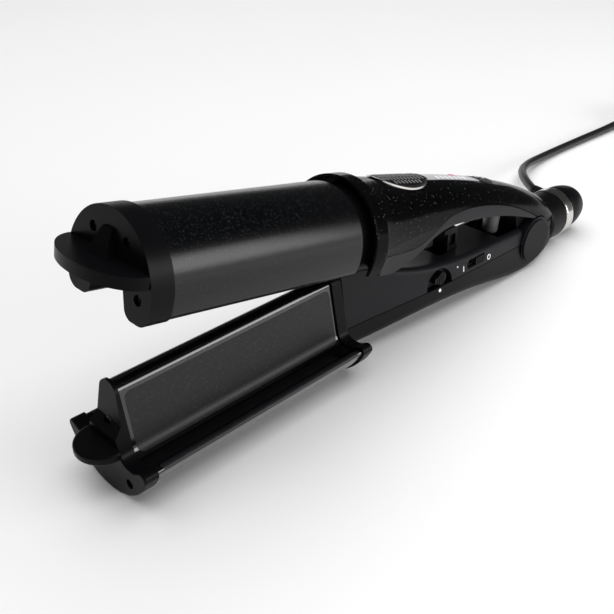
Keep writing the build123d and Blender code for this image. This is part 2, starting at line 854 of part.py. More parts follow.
def build_cord_tie(mean_radius):
    """Strap round the coil's turns."""
    strap = 1.1
    strap_width = 9.0
    with BuildPart() as tie:
        with BuildSketch(Plane(origin=lower.from_local_coords((coil_x + mean_radius, coil_y - strap_width / 2, 0)),
                               x_dir=(1, 0, 0), z_dir=(0, 1, 0))):
            with Locations((0, -coil_lift - coil_height / 2)):
                RectangleRounded(coil_width + 3.2 + 2 * strap, coil_height + 0.5 + 2 * strap, 6.2)
                RectangleRounded(coil_width + 3.2, coil_height + 0.5, 5.2, mode=Mode.SUBTRACT)
        extrude(amount=strap_width)
    return tie


plug_length = 35.0
plug_pin_radius = 2.0
plug_pin_length = 19.0
plug_pin_pitch = 18.6
plug_height = 13.7


def build_lead(mean_radius):
    """Short end of the cord between the coil and the plug."""
    start_x = coil_x + coil_edge_reach(mean_radius)
    with BuildPart() as lead:
        with BuildSketch(section(lower, start_x)):
            with Locations((coil_y + mean_radius, plug_height / 2)):
                Circle(cord_diameter / 2)
        extrude(amount=plug_x - start_x)
    return lead


def coil_edge_reach(mean_radius):
    """Distance along a tangent of the middle turn at which the coil's outer edge is passed."""
    outer = mean_radius + coil_width / 2
    return (outer * outer - mean_radius * mean_radius) ** 0.5 + 1.0


def build_plug(mean_radius):
    y = coil_y + mean_radius
    with BuildPart() as plug:
        with BuildSketch(section(lower, plug_x)):
            with Locations((y, plug_height / 2)):
                RectangleRounded(11, 10, 3)
        with BuildSketch(section(lower, plug_x + plug_length)):
            with Locations((y, plug_height / 2)):
                RectangleRounded(35.3, plug_height - 0.1, 6)
        loft()
    return plug


def build_plug_pins(mean_radius):
    y = coil_y + mean_radius
    with BuildPart() as pins:
        with BuildSketch(section(lower, plug_x + plug_length)):
            with Locations((y - plug_pin_pitch / 2, plug_height / 2), (y + plug_pin_pitch / 2, plug_height / 2)):
                Circle(plug_pin_radius)
        extrude(amount=plug_pin_length)
        fillet(pins.edges().filter_by(GeomType.CIRCLE).group_by(Axis.X)[-1], 1.2)
    return pins


# ---- upper arm: barrel and its ends --------------------------------------------------------------
def build_upper_cap():
    crown_holes = screw_holes(upper, upper_front, crown_screw_spots, 5.8)
    leg_holes = screw_holes(upper, upper_front, leg_screw_spots, 5.8)
    face_foot_z = upper_tab_z - upper_tab_thick
    with BuildPart() as cap:
        with BuildSketch(section(upper, upper_front)):
            add(arch_cap)
        extrude(amount=upper_cap_depth)
        with BuildSketch(section(upper, upper_front)):
            with Locations((0, upper_axis_z)):
                Circle(barrel_radius + cap_step)
            with Locations((0, face_foot_z - 2 * barrel_radius)):
                Rectangle(4 * barrel_radius, 4 * barrel_radius, mode=Mode.SUBTRACT)
        extrude(amount=face_wall)
        with BuildSketch(level(upper, upper_tab_z)):
            with Locations((upper_front, 0)):
                Ellipse(upper_tab_reach, barrel_radius - 0.2)
            with Locations((upper_front + upper_tab_reach, 0)):
                Rectangle(2 * upper_tab_reach, 4 * barrel_radius, mode=Mode.SUBTRACT)
        extrude(amount=-upper_tab_thick)
        # wedge that stiffens the tab
        with BuildSketch(level(upper, upper_tab_z)):
            with Locations((upper_front - 2.6, 0)):
                Rectangle(5.2, 11)
        with BuildSketch(level(upper, upper_tab_z + 9.4)):
            with Locations((upper_front - 0.5, 0)):
                Rectangle(1.0, 5.4)
        loft()
        with BuildSketch(section(upper, upper_front + upper_cap_depth)):
            add(arch_plugs)
        extrude(amount=plug_depth)
        add(crown_holes, mode=Mode.SUBTRACT)
        add(leg_holes, mode=Mode.SUBTRACT)
    return cap


def build_upper_barrel():
    front = upper_front + upper_cap_depth
    with BuildPart() as barrel:
        with BuildSketch(section(upper, front)):
            add(arch_barrel)
            add(arch_bores, mode=Mode.SUBTRACT)
        extrude(amount=upper_barrel_end - front)
    return barrel


def build_upper_heaters():
    """One bar in each leg."""
    with BuildPart() as heaters:
        with BuildSketch(section(upper, heater_front + 6)):
            with Locations((-16.0, 35.5), (16.0, 35.5)):
                RectangleRounded(5, 13, 0.8)
        extrude(amount=heater_length - 8)
    return heaters


def build_barrel_collar():
    """Heat-resistant collar that holds the upper barrel in the hood."""
    with BuildPart() as collar:
        with BuildSketch(section(upper, upper_barrel_end)):
            add(arch_collar)
        extrude(amount=handle_front + 1.5 - upper_barrel_end)
        with BuildSketch(section(upper, upper_barrel_end)):
            add(arch_plugs)
        extrude(amount=-plug_depth)
        with BuildSketch(section(upper, upper_barrel_end - plug_depth)):
            with Locations((-16.5, 35), (16.5, 35)):
                Circle(2.4)
        extrude(amount=40, mode=Mode.SUBTRACT)
    return collar


def build_hood():
    """Shroud round the barrel's rear end, open below."""
    with BuildPart() as hood:
        with BuildSketch(section(upper, hood_front)):
            with Locations((0, upper_axis_z)):
                Circle(hood_radius)
                Circle(hood_radius - hood_wall, mode=Mode.SUBTRACT)
            with Locations((0, hood_foot_z - hood_radius)):
                Rectangle(4 * hood_radius, 2 * hood_radius, mode=Mode.SUBTRACT)
        extrude(amount=hood_depth)
        fillet(hood.faces().sort_by(upper_axis)[0].edges().filter_by(GeomType.CIRCLE), 0.6)
        # ribs that carry the barrel's collar
        with BuildSketch(section(upper, hood_front + hood_depth - 3)):
            with Locations((0, upper_axis_z)):
                Circle(hood_radius - hood_wall / 2)
                Circle(barrel_radius - collar_step + 0.05, mode=Mode.SUBTRACT)
            with Locations((0, hood_foot_z + 2 - hood_radius)):
                Rectangle(4 * hood_radius, 2 * hood_radius, mode=Mode.SUBTRACT)
        extrude(amount=3)
    return hood


upper_axis = Axis(upper.origin, upper.x_dir)

# ---- upper handle: one body, split at its seam into gloss shell and matte base ---------------------
upper_front_x = hood_front + hood_depth + skin_gap
# place along the arm, half width, height of the shoulder, height of the top
upper_handle_rings = [
    (upper_front_x, 25.4, 35.0, 60.4),
    (along(138), 22.2, 35.6, 58.4),
    (along(160), 19.4, 37.0, 57.2),
    (along(185), 17.6, 38.0, 55.7),
    (along(212), 16.6, 37.4, 53.0),
    (along(240), 16.2, 33.4, 49.0),
    (along(264), 16.0, 28.6, 44.0),
    (along(290), 14.6, 21.6, 36.4),
]
side_draft = 0.10
# underside of the base and the seam between shell and base: place along the arm, height
base_curve = [(112, 25.6), (123, 23.2), (134, 21.6), (148, 23.8), (157, 26.8), (164, 31.0), (171, 34.2),
              (179, 36.2), (193, 36.8), (208, 36.7), (227, 35.7), (248, 32.8), (272, 28.4), (296, 22.0)]
seam_curve = [(112, 30.4), (140, 30.2), (155, 30.8), (166, 35.4), (174, 39.8), (186, 42.6), (204, 43.2),
              (224, 41.6), (246, 37.4), (258, 33.8), (276, 27.6), (296, 19.0)]
base_floor = 2.4
straddle_end = along(181)  # ahead of this the base is open below and straddles the lower handle


def upper_handle_solid(inset=0.0):
    """The upper handle's outer body, or a smaller (larger, if negative) copy of it."""
    low = 6.0
    with BuildPart() as solid:
        for x, half, shoulder, high in upper_handle_rings:
            foot = half - side_draft * (shoulder - low)
            with BuildSketch(section(upper, x)):
                with BuildLine():
                    Polyline((-half + inset, shoulder), (-foot + inset, low), (foot - inset, low),
                             (half - inset, shoulder))
                    EllipticalCenterArc((0, shoulder), half - inset, high - shoulder - inset,
                                        start_angle=0, arc_size=180)
                make_face()
        loft()
    return solid.part


def side_region(points, shift, upward):
    """All that lies above or below a curve drawn in the arm's side view."""
    far = 90.0
    lifted = [(along(x), z + shift) for x, z in points]
    with BuildPart() as region:
        with BuildSketch(side(upper)):
            with BuildLine():
                Spline(*lifted)
                edge_z = far if upward else -far
                Polyline(lifted[-1], (lifted[-1][0], edge_z), (lifted[0][0], edge_z), lifted[0])
            make_face()
        extrude(amount=2 * hood_radius, both=True)
    return region.part


upper_solid = upper_handle_solid()
upper_cavity = upper_handle_solid(wall)
above_seam = side_region(seam_curve, skin_gap / 2, True)
below_seam = side_region(seam_curve, -skin_gap / 2, False)
above_base = side_region(base_curve, 0.0, True)
above_floor = side_region(base_curve, base_floor, True)

grip_x = along(155)
grip_size = (17.6, 9.2)
rim_width = 1.1
display_x = (along(155) + along(225)) / 2 + 4.0
display_size = (along(225) - along(155) - 32.0, 9.0)
pad_x = along(225)
pad_size = (8.6, 6.2)
button_radius = 2.3
button_pitch = 7.0
button_rise = 0.6
button_travel = 0.5
button_thick = 1.4
button_stem = 1.1
pocket_depth = 1.2


def skin_piece(outline, rise, sink):
    """A piece that follows the handle's top: its outline cut out of a layer of the skin."""
    with BuildPart() as piece:
        with BuildSketch(level(upper, 40)):
            add(outline)
        extrude(amount=30)
        add(upper_handle_solid(-rise), mode=Mode.INTERSECT)
        add(upper_handle_solid(sink), mode=Mode.SUBTRACT)
    return piece


def oval(x, size, grow=0.0):
    with BuildSketch() as outline:
        with Locations((x, 0)):
            Ellipse(size[0] + grow, size[1] + grow)
    return outline.sketch


def display_outline(grow=0.0):
    """Strip with hollow ends, so that it lies between the grip's rim and the button pad."""
    with BuildSketch() as outline:
        with Locations((display_x, 0)):
            Rectangle(display_size[0] + 10, display_size[1] + 2 * grow)
        add(oval(grip_x, grip_size, rim_width + 0.5 - grow), mode=Mode.SUBTRACT)
        add(oval(pad_x, pad_size, 0.5 - grow), mode=Mode.SUBTRACT)
    return outline.sketch


def around_hinge(radius, half):
    """Cylinder about the hinge pin."""
    with BuildPart() as room:
        with BuildSketch(side(upper)):
            with Locations((hinge_x, hinge_z)):
                Circle(radius)
        extrude(amount=half, both=True)
    return room.part


def behind_hinge():
    """Room over the lower handle's rear end, where the upper handle's tail comes down."""
    with BuildPart() as room:
        with BuildSketch(level(lower, lower_handle_rings[-2][3] + move_gap)):
            with Locations((hinge_x + barrel_radius, 0)):
                Rectangle(2 * barrel_radius, 4 * barrel_radius)
        extrude(amount=-4 * barrel_radius)
    return room.part


cheek_room = around_hinge(cheek_radius + move_gap, 2 * cheek_outer)
tail_room = behind_hinge()


def build_upper_shell():
    pocket = skin_piece(oval(grip_x, grip_size, rim_width + fit_gap), 2, pocket_depth).part
    strip_pocket = skin_piece(display_outline(fit_gap), 2, pocket_depth).part
    pad_pocket = skin_piece(oval(pad_x, pad_size, fit_gap), 2, pocket_depth).part
    with BuildPart() as shell:
        add(upper_solid)
        add(upper_cavity, mode=Mode.SUBTRACT)
        add(above_seam, mode=Mode.INTERSECT)
        add(cheek_room, mode=Mode.SUBTRACT)
        add(tail_room, mode=Mode.SUBTRACT)
        add(pocket, mode=Mode.SUBTRACT)
        add(strip_pocket, mode=Mode.SUBTRACT)
        add(pad_pocket, mode=Mode.SUBTRACT)
        for x in (pad_x - button_pitch / 2, pad_x + button_pitch / 2):
            with BuildSketch(level(upper, button_top(x) + button_rise - button_thick - button_travel - 0.1)):
                with Locations((x, 0)):
                    Circle(button_radius + slide_gap / 2)
            extrude(amount=barrel_radius, mode=Mode.SUBTRACT)
            with BuildSketch(level(upper, button_top(x) - 2 * wall)):
                with Locations((x, 0)):
                    Circle(button_stem + slide_gap)
            extrude(amount=barrel_radius, mode=Mode.SUBTRACT)
    return shell


def base_floor_layer():
    """Floor of the base, behind the open stretch that straddles the lower handle."""
    with BuildPart() as floor:
        add(upper_handle_solid(0.2))
        add(above_base, mode=Mode.INTERSECT)
        add(above_floor, mode=Mode.SUBTRACT)
        with BuildSketch(section(upper, straddle_end)):
            with Locations((0, upper_axis_z)):
                Rectangle(4 * barrel_radius, 8 * barrel_radius)
        extrude(amount=-4 * barrel_radius, mode=Mode.SUBTRACT)
    return floor.part


def build_upper_base():
    """Matte underside of the upper handle, with the knuckle that turns on the pin."""
    floor_layer = base_floor_layer()
    with BuildPart() as base:
        add(upper_solid)
        add(upper_cavity, mode=Mode.SUBTRACT)
        add(above_base, mode=Mode.INTERSECT)
        add(floor_layer)
        add(below_seam, mode=Mode.INTERSECT)
        add(cheek_room, mode=Mode.SUBTRACT)
        add(tail_room, mode=Mode.SUBTRACT)
        with BuildSketch(side(upper)):
            with Locations((hinge_x, hinge_z)):
                Circle(knuckle_radius)
            with BuildLine():
                Polyline((hinge_x - 9.8, hinge_z + 2), (hinge_x - 17.7, 33.0), (hinge_x - 13.7, 35.6), (hinge_x + 12.3, 30.4),
                         (hinge_x + 9.8, hinge_z + 2), close=True)
            make_face()
        extrude(amount=knuckle_half, both=True)
        with BuildSketch(side(upper)):
            with Locations((hinge_x, hinge_z)):
                Circle(pin_radius + pin_gap)
        extrude(amount=2 * knuckle_half, both=True, mode=Mode.SUBTRACT)
        # room for the torsion spring beside the knuckle
        with BuildSketch(side(upper, spring_near)):
            with Locations((hinge_x, hinge_z)):
                Circle(spring_radius + spring_wire / 2 + slide_gap)
        extrude(amount=-2 * knuckle_half, mode=Mode.SUBTRACT)
        # slot for the latch
        with BuildSketch(level(upper, 30)):
            with Locations((latch_x - 1.2, 0)):
                Rectangle(latch_stem[0] + 8.4, latch_stem[1] + 2 * move_gap)
        extrude(amount=12, mode=Mode.SUBTRACT)
        # socket of the opening post
        with BuildSketch(level(upper, 30)):
            with Locations((post_x, 0)):
                Circle(2.4 + fit_gap)
        extrude(amount=8, mode=Mode.SUBTRACT)
    return base


post_x = along(247)
post_radius = 4.3
post_foot_z = 19.0
post_top_z = 31.8


def build_opening_post():
    """Round post under the upper handle that reaches down into the lower handle."""
    with BuildPart() as post:
        with BuildSketch(level(upper, post_foot_z)):
            with Locations((post_x, 0)):
                Circle(post_radius)
        extrude(amount=post_top_z - post_foot_z)
        fillet(post.edges().filter_by(GeomType.CIRCLE).sort_by(Axis.Z)[0], 2.6)
        with BuildSketch(level(upper, post_top_z - 0.5)):
            with Locations((post_x, 0)):
                Circle(2.4)
        extrude(amount=6.2)
    return post


def build_grip_rim():
    with BuildSketch() as outline:
        add(oval(grip_x, grip_size, rim_width))
        add(oval(grip_x, grip_size), mode=Mode.SUBTRACT)
    return skin_piece(outline.sketch, 0.7, pocket_depth - 0.05)


def build_grip_pad():
    """Oval finger rest with ribs across it."""
    piece = skin_piece(oval(grip_x, grip_size, -0.1), 0.45, pocket_depth - 0.05)
    with BuildPart() as pad:
        add(piece.part)
        with BuildSketch(side(upper)):
            with Locations((grip_x, 57.6)):
                with GridLocations(2.6, 0, 13, 1):
                    Rectangle(1.1, 1.5, rotation=-20)
        extrude(amount=2 * grip_size[1], both=True, mode=Mode.SUBTRACT)
    return pad


def build_display_strip():
    return skin_piece(display_outline(), 0.25, pocket_depth - 0.05)


def button_spots():
    with BuildPart() as wells:
        with BuildSketch(level(upper, 40)):
            with Locations((pad_x, 0)):
                with GridLocations(button_pitch, 0, 2, 1):
                    Circle(button_radius + slide_gap / 2)
        extrude(amount=30)
    return wells.part


def build_button_pad():
    piece = skin_piece(oval(pad_x, pad_size), 0.35, pocket_depth - 0.05)
    with BuildPart() as pad:
        add(piece.part)
        add(button_spots(), mode=Mode.SUBTRACT)
    return pad


def build_button(index):
    """Round push button: a cap above the pad and a stem through the shell."""
    x = pad_x + (index - 0.5) * button_pitch
    top = button_top(x)
    with BuildPart() as button:
        with BuildSketch(level(upper, top + button_rise)):
            with Locations((x, 0)):
                Circle(button_radius)
        extrude(amount=-button_thick)
        fillet(button.edges().filter_by(GeomType.CIRCLE).sort_by(Axis.Z)[-1], 0.4)
        with BuildSketch(level(upper, top)):
            with Locations((x, 0)):
                Circle(button_stem)
        extrude(amount=-4.1)
    return button


def button_top(x):
    """Height of the handle's top at x, between the two rings beside it."""
    for (x0, _, _, z0), (x1, _, _, z1) in zip(upper_handle_rings, upper_handle_rings[1:]):
        if x0 <= x <= x1:
            return z0 + (z1 - z0) * (x - x0) / (x1 - x0)
    return upper_handle_rings[-1][3]


board_x = along(205)
board_z = 44.2


def build_control_board():
    with BuildPart() as board:
        with BuildSketch(level(upper, board_z)):
            with Locations((board_x, 0)):
                RectangleRounded(52, 14, 1.5)
        extrude(amount=1.6)
        with BuildSketch(level(upper, board_z)):
            with Locations((board_x - 15, 2)):
                Rectangle(9, 7)
        extrude(amount=-1.4)
    return board


# ---- build, label and write every piece --------------------------------------------------------------
os.makedirs("parts", exist_ok=True)

# the coil's radius takes up what the route and the lead leave of the cord's length
coil_radius = 32.0
for _ in range(4):
    tangent_reach = coil_edge_reach(coil_radius)
    route = [lower.from_local_coords(p) for p in cord_points]
    route.append(lower.from_local_coords((coil_x - tangent_reach, coil_y + coil_radius, cord_z + coil_lift)))
    radii = corner_radii(route)
    loose = route_length(route, radii) + (plug_x - coil_x)
    coil_radius = (cord_length - loose) / (2 * pi * coil_turns)
print("cord: route", round(loose, 1), "coil radius", round(coil_radius, 2))
print("cord radii", [round(r, 1) for r in radii])

pieces = {
    "lower_cap": build_lower_cap(),
    "lower_cap_screws": cross_screws(lower, 0, lower_screw_spots[1:], 3.2),
    "lower_nose_screw": cross_screws(lower, nose_screw_front - screw_sink, lower_screw_spots[:1], 4.0),
    "lower_barrel": build_lower_barrel(),
    "lower_heater": build_lower_heater(),
    "lower_heater_clip": build_heater_clip(),
    "lower_collar": build_lower_collar(),
    "lower_handle_cover": build_lower_cover(),
    "lower_handle_shell": build_lower_shell(),
    "lower_handle_screws": build_handle_screws(),
    "hinge_pin": build_hinge_pin(),
    "hinge_discs": build_hinge_discs(),
    "hinge_spring": build_hinge_spring(),
    "lock_shaft": build_lock_shaft(),
    "lock_lever": build_lock_lever(),
    "latch_hook": build_latch(),
    "switch_body": build_switch_body(),
    "power_slider": build_power_slider(),
    "terminal_block": build_terminal_block(),
    "swivel_socket": build_swivel_socket(),
    "swivel_ring": build_swivel_ring(),
    "swivel_head": build_swivel_head(),
    "strain_relief": build_strain_relief(),
    "power_cord": build_power_cord(route, radii),
    "cord_coil": build_cord_coil(coil_radius),
    "cord_tie": build_cord_tie(coil_radius),
    "cord_lead": build_lead(coil_radius),
    "plug_body": build_plug(coil_radius),
    "plug_pins": build_plug_pins(coil_radius),
    "upper_cap": build_upper_cap(),
    "upper_cap_screws": cross_screws(upper, upper_front, crown_screw_spots + leg_screw_spots, 5.5),
    "upper_barrel": build_upper_barrel(),
    "upper_heaters": build_upper_heaters(),
    "barrel_collar": build_barrel_collar(),
    "hood": build_hood(),
    "upper_handle_shell": build_upper_shell(),
    "upper_handle_base": build_upper_base(),
    "opening_post": build_opening_post(),
    "grip_rim": build_grip_rim(),
    "grip_pad": build_grip_pad(),
    "display_strip": build_display_strip(),
    "button_pad": build_button_pad(),
    "front_button": build_button(0),
    "rear_button": build_button(1),
    "control_board": build_control_board(),
}
for name, piece in pieces.items():
    piece.part.label = name
    export_step(piece.part, "parts/" + name + ".step")

tube_volume = pieces["power_cord"].part.volume
tube_length = route_length(route, radii)
print("cord tube volume", round(tube_volume, 1), "section times length",
      round(tube_length * pi * cord_diameter ** 2 / 4, 1))
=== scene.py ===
"""Finishes and small pieces of a deep-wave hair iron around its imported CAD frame.

Metres, in the frame of the CAD part. The file is laid out as an add-on: each operator makes
one piece, or one group of like pieces, and the panel lists them.
"""
import json
import math

import bpy
from mathutils import Matrix, Vector


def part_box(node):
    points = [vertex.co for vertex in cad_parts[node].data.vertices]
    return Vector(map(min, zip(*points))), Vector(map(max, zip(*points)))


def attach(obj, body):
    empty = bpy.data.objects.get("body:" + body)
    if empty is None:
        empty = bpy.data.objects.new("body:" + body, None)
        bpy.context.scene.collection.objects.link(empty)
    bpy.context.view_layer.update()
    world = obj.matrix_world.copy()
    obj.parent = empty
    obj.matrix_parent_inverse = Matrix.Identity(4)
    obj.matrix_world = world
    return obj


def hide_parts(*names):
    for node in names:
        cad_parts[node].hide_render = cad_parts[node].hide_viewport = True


bl_info = {
    "name": "Deep-wave hair iron",
    "version": (1, 0, 0),
    "blender": (4, 5, 0),
    "location": "3D View > Sidebar > Hair iron",
    "description": "Finishes, marks, cord and stage of a deep-wave hair iron",
    "category": "Object",
}

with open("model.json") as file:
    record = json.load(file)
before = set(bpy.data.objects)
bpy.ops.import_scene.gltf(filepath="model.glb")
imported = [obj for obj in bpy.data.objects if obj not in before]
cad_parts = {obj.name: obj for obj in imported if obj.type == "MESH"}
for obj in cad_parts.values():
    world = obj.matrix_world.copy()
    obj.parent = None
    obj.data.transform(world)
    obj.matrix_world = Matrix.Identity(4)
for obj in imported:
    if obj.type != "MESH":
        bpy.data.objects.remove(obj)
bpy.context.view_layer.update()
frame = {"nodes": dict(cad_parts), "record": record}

MM = 0.001
TIP_X = -163.2             # tip plane's X in the row frame, in millimetres
HINGE_X = 269.7            # hinge pin, from the tip plane
HINGE_Z = 16.8
ARM_OPEN = math.radians(11.15)
PAD_X = 225.0              # button pad's middle, along the upper arm
BUTTON_PITCH = 7.0         # between the middles of the two buttons
DISPLAY_X = 194.0          # display strip's middle
GRIP_X = 155.0             # oval finger rest's middle, along the upper arm
GRIP_HALF = (17.6, 9.2)    # its half length and half width
GRIP_EDGE = 1.4            # plain edge left round the ribs
RIB_PITCH = 2.6            # along the arm
RIB_STEP = 3.0             # across the arm
ABOVE = 80.0               # a height over the upper arm from which marks are dropped onto it
OUTSIDE = -40              # a Y beyond the near side from which marks are pushed onto it
ON_SIGN = (204.4, 22.4)    # X and Z of the marks on the near side
OFF_SIGN = (226.2, 21.6)
LEVER_SPOT = (185.4, 17.4)
LOCKED_SPOT = (199.4, 25.2)
SCALE_LINES = 7
SCALE_START = DISPLAY_X - 11.5
SCALE_PITCH = 3.9
SCALE_Y = -2.7
LAMP_OFFSET = (7.0, 1.6)   # from the display's middle, along and across
TURN_STEPS = 14            # route points in one turn of the cord's coil
LAYER_RISE = 4.76          # from one layer of turns to the next
TURN_GAP = 1.02            # turns side by side, in cord diameters
COIL_EDGE = 8.5            # from the coil's outside to the middle of its middle turns
CORD_EXIT = (336.81, 24.74, 14.7)
CORD_ROUTE = ((351.0, 42.0, 13.8), (386.0, 64.0, 7.0), (428.0, 69.8, 2.8), (476.0, 68.8, 2.8),
              (522.0, 66.4, 3.2))


def at(x, y, z):
    """Row-frame point for millimetres measured from the tip plane."""
    return Vector(((TIP_X + x) * MM, y * MM, z * MM))


def raised(x, y, z):
    """Row-frame point of the upper arm, given as if its barrel were level."""
    dx, dz = x - HINGE_X, z - HINGE_Z
    return at(HINGE_X + dx * math.cos(ARM_OPEN) + dz * math.sin(ARM_OPEN), y,
              HINGE_Z - dx * math.sin(ARM_OPEN) + dz * math.cos(ARM_OPEN))


UPPER_DOWN = (raised(0, 0, 0) - raised(0, 0, 1)).normalized()
UPPER_ALONG = (raised(1, 0, 0) - raised(0, 0, 0)).normalized()


# ---- sizes and colours a user may change ------------------------------------------------------
class IronSizes(bpy.types.PropertyGroup):
    cord_diameter: bpy.props.FloatProperty(
        name="Cord diameter", description="Outside diameter of the mains cord",
        default=0.0055, unit="LENGTH", min=0.003, max=0.009)
    cord_length: bpy.props.FloatProperty(
        name="Cord length", description="Length from the strain relief to the plug",
        default=1.8, unit="LENGTH", min=0.5, max=4.0)
    mark_height: bpy.props.FloatProperty(
        name="Mark height", description="Height of the printed on and off marks",
        default=0.0030, unit="LENGTH", min=0.001, max=0.006)
    print_thickness: bpy.props.FloatProperty(
        name="Print thickness", description="Height of printed marks above their surface",
        default=0.00012, unit="LENGTH", min=0.00002, max=0.0005)


class IronColours(bpy.types.PropertyGroup):
    ceramic: bpy.props.FloatVectorProperty(
        name="Ceramic coat", description="Coating of both barrels", subtype="COLOR", size=4,
        default=(0.002, 0.002, 0.0025, 1.0), min=0.0, max=1.0)
    gloss: bpy.props.FloatVectorProperty(
        name="Gloss shell", description="Upper handle's shell and hood", subtype="COLOR", size=4,
        default=(0.0015, 0.0015, 0.0018, 1.0), min=0.0, max=1.0)
    matte: bpy.props.FloatVectorProperty(
        name="Matte casing", description="Lower cover and upper base", subtype="COLOR", size=4,
        default=(0.008, 0.008, 0.0095, 1.0), min=0.0, max=1.0)
    dark: bpy.props.FloatVectorProperty(
        name="Dark plastic", description="End caps, lower shell and cord swivel", subtype="COLOR",
        size=4, default=(0.0025, 0.0025, 0.003, 1.0), min=0.0, max=1.0)
    print_white: bpy.props.FloatVectorProperty(
        name="Print", description="Printed marks", subtype="COLOR", size=4,
        default=(0.82, 0.82, 0.82, 1.0), min=0.0, max=1.0)


# ---- node groups --------------------------------------------------------------------------------
def new_group(name, inputs, outputs):
    """Empty shader group; inputs are (name, socket type, default)."""
    tree = bpy.data.node_groups.new(name, "ShaderNodeTree")
    for label, kind, value in inputs:
        socket = tree.interface.new_socket(name=label, in_out="INPUT", socket_type=kind)
        socket.default_value = value
    for label, kind in outputs:
        tree.interface.new_socket(name=label, in_out="OUTPUT", socket_type=kind)
    return tree, tree.nodes.new("NodeGroupInput"), tree.nodes.new("NodeGroupOutput")


def math_node(tree, operation, a, b=None, clamp=False):
    node = tree.nodes.new("ShaderNodeMath")
    node.operation = operation
    node.use_clamp = clamp
    for socket, value in zip(node.inputs, (a, b)):
        if value is None:
            continue
        if isinstance(value, (int, float)):
            socket.default_value = value
        else:
            tree.links.new(value, socket)
    return node.outputs[0]


def vector_node(tree, operation, a, b=None):
    node = tree.nodes.new("ShaderNodeVectorMath")
    node.operation = operation
    for socket, value in zip(node.inputs, (a, b)):
        if value is None:
            continue
        if isinstance(value, tuple):
            socket.default_value = value
        else:
            tree.links.new(value, socket)
    return node.outputs[0]


def noise(tree, vector, scale, detail=2.0):
    node = tree.nodes.new("ShaderNodeTexNoise")
    node.inputs["Detail"].default_value = detail
    tree.links.new(vector, node.inputs["Vector"])
    if isinstance(scale, (int, float)):
        node.inputs["Scale"].default_value = scale
    else:
        tree.links.new(scale, node.inputs["Scale"])
    return node.outputs["Fac"]


def moulded_grain():
    """Fine relief of a moulded surface, with a slow drift in its sheen."""
    tree, start, end = new_group(
        "moulded_grain",
        [("Vector", "NodeSocketVector", (0, 0, 0)), ("Scale", "NodeSocketFloat", 2500.0),
         ("Sheen", "NodeSocketFloat", 0.4), ("Drift", "NodeSocketFloat", 0.06)],
        [("Height", "NodeSocketFloat"), ("Roughness", "NodeSocketFloat")])
    grain = noise(tree, start.outputs["Vector"], start.outputs["Scale"], 3.0)
    slow = noise(tree, start.outputs["Vector"], 55.0, 4.0)
    centred = math_node(tree, "SUBTRACT", slow, 0.5)
    drift = math_node(tree, "MULTIPLY", centred, start.outputs["Drift"])
    both_ways = math_node(tree, "MULTIPLY", drift, 2.0)
    rough = math_node(tree, "ADD", both_ways, start.outputs["Sheen"], True)
    tree.links.new(grain, end.inputs["Height"])
    tree.links.new(rough, end.inputs["Roughness"])
    return tree


def sparkle():
    """Sparse bright flecks, like mica in a coating or dust on a gloss shell."""
    tree, start, end = new_group(
        "sparkle",
        [("Vector", "NodeSocketVector", (0, 0, 0)), ("Scale", "NodeSocketFloat", 1800.0),
         ("Amount", "NodeSocketFloat", 0.1)],
        [("Mask", "NodeSocketFloat")])
    cells = tree.nodes.new("ShaderNodeTexVoronoi")
    tree.links.new(start.outputs["Vector"], cells.inputs["Vector"])
    tree.links.new(start.outputs["Scale"], cells.inputs["Scale"])
    split = tree.nodes.new("ShaderNodeSeparateColor")
    tree.links.new(cells.outputs["Color"], split.inputs["Color"])
    chosen = math_node(tree, "LESS_THAN", split.outputs["Red"], start.outputs["Amount"])
    small = math_node(tree, "LESS_THAN", cells.outputs["Distance"], 0.32)
    both = math_node(tree, "MULTIPLY", chosen, small)
    tree.links.new(math_node(tree, "MULTIPLY", both, split.outputs["Green"]), end.inputs["Mask"])
    return tree


def rounded_panel():
    """Rounded rectangle in X and Z: one inside it, and a thin line along its edge."""
    tree, start, end = new_group(
        "rounded_panel",
        [("Vector", "NodeSocketVector", (0, 0, 0)), ("Centre", "NodeSocketVector", (0, 0, 0)),
         ("Half", "NodeSocketVector", (0.05, 1, 0.01)), ("Corner", "NodeSocketFloat", 0.002),
         ("Line", "NodeSocketFloat", 0.0002)],
        [("Inside", "NodeSocketFloat"), ("Edge", "NodeSocketFloat")])
    offset = vector_node(tree, "SUBTRACT", start.outputs["Vector"], start.outputs["Centre"])
    reach = vector_node(tree, "SUBTRACT", vector_node(tree, "ABSOLUTE", offset), start.outputs["Half"])
    split = tree.nodes.new("ShaderNodeSeparateXYZ")
    tree.links.new(reach, split.inputs[0])
    qx = math_node(tree, "ADD", split.outputs["X"], start.outputs["Corner"])
    qz = math_node(tree, "ADD", split.outputs["Z"], start.outputs["Corner"])
    px, pz = math_node(tree, "MAXIMUM", qx, 0.0), math_node(tree, "MAXIMUM", qz, 0.0)
    squares = math_node(tree, "ADD", math_node(tree, "MULTIPLY", px, px),
                        math_node(tree, "MULTIPLY", pz, pz))
    outer = math_node(tree, "SQRT", squares)
    inner = math_node(tree, "MINIMUM", math_node(tree, "MAXIMUM", qx, qz), 0.0)
    away = math_node(tree, "SUBTRACT", math_node(tree, "ADD", outer, inner), start.outputs["Corner"])
    tree.links.new(math_node(tree, "LESS_THAN", away, 0.0), end.inputs["Inside"])
    near = math_node(tree, "ABSOLUTE", away)
    tree.links.new(math_node(tree, "LESS_THAN", near, start.outputs["Line"]), end.inputs["Edge"])
    return tree


GROUPS = {}


def group(tree, name, **values):
    """Places a shared group in a material and sets its plain inputs."""
    node = tree.nodes.new("ShaderNodeGroup")
    node.node_tree = GROUPS[name]
    for label, value in values.items():
        if isinstance(value, bpy.types.NodeSocket):
            tree.links.new(value, node.inputs[label])
        else:
            node.inputs[label].default_value = value
    return node


